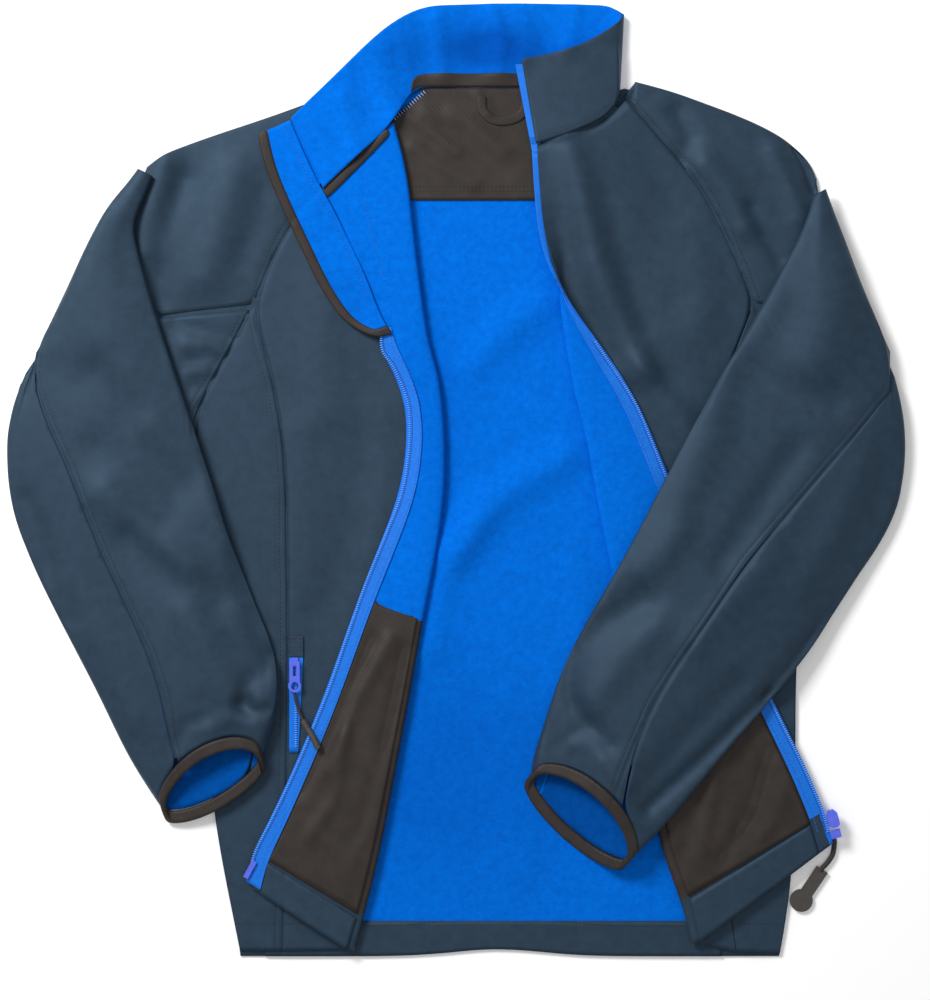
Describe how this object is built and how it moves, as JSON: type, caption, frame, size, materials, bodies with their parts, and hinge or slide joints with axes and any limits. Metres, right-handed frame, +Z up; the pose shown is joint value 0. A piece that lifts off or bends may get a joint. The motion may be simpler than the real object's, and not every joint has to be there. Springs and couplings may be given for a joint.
{
  "type": "softshell jacket",
  "caption": "Raglan softshell jacket with a fleece inside, laid open on its back: zip, stand collar with chin guard, zip pocket with pull, bound cuffs.",
  "frame": {"origin": "middle of the jacket's outline, on the surface it lies on", "axes": "+Z up from the surface, +Y towards the collar, +X towards the wearer's left"},
  "size_m": [0.7662, 0.812, 0.0337],
  "materials": {
    "navy": "matte bonded softshell",
    "fleece": "brushed fleece",
    "lining": "woven polyester",
    "zip_tape": "woven zip tape",
    "zip_metal": "painted zinc",
    "rubber": "matte rubber"
  },
  "bodies": {
    "garment": {"back": "navy", "hem_back": "navy", "front_right": "navy", "front_left": "navy", "side_right": "navy", "side_left": "navy", "hem_front_right": "navy", "hem_front_left": "navy", "collar_outer": "navy", "sleeve_right_cap": "navy", "sleeve_right_underarm": "navy", "sleeve_right_front": "navy", "sleeve_right_back": "navy", "sleeve_left_cap": "navy", "sleeve_left_underarm": "navy", "sleeve_left_front": "navy", "sleeve_left_back": "navy", "pocket_welt": "navy", "collar_inner": "fleece", "chin_guard": "fleece", "back_yoke_lining": "lining", "hanger_loop": "lining", "pocket_bag_right": "lining", "pocket_bag_left": "lining", "neck_tape_front": "lining", "neck_tape_back": "lining", "chin_guard_binding": "lining", "cuff_binding_right": "lining", "cuff_binding_left": "lining", "zip_tape_right": "zip_tape", "zip_tape_left": "zip_tape", "pocket_zip_tape": "zip_tape", "zip_box": "zip_tape", "pocket_slider": "zip_metal", "zip_slider": "zip_metal", "zip_pin": "zip_metal", "main_cord": "rubber", "main_cord_tag": "rubber"},
    "pocket_pull": {"pocket_tab": "zip_metal", "pocket_cord": "rubber", "pocket_cord_end": "rubber"}
  },
  "joints": [
    {"name": "pocket_pull_hinge", "type": "hinge", "parent": "garment", "child": "pocket_pull", "pos_m": [-0.138, -0.154, 0.0099], "axis": [-1, 0, 0], "range_deg": [0, 150]}
  ]
}
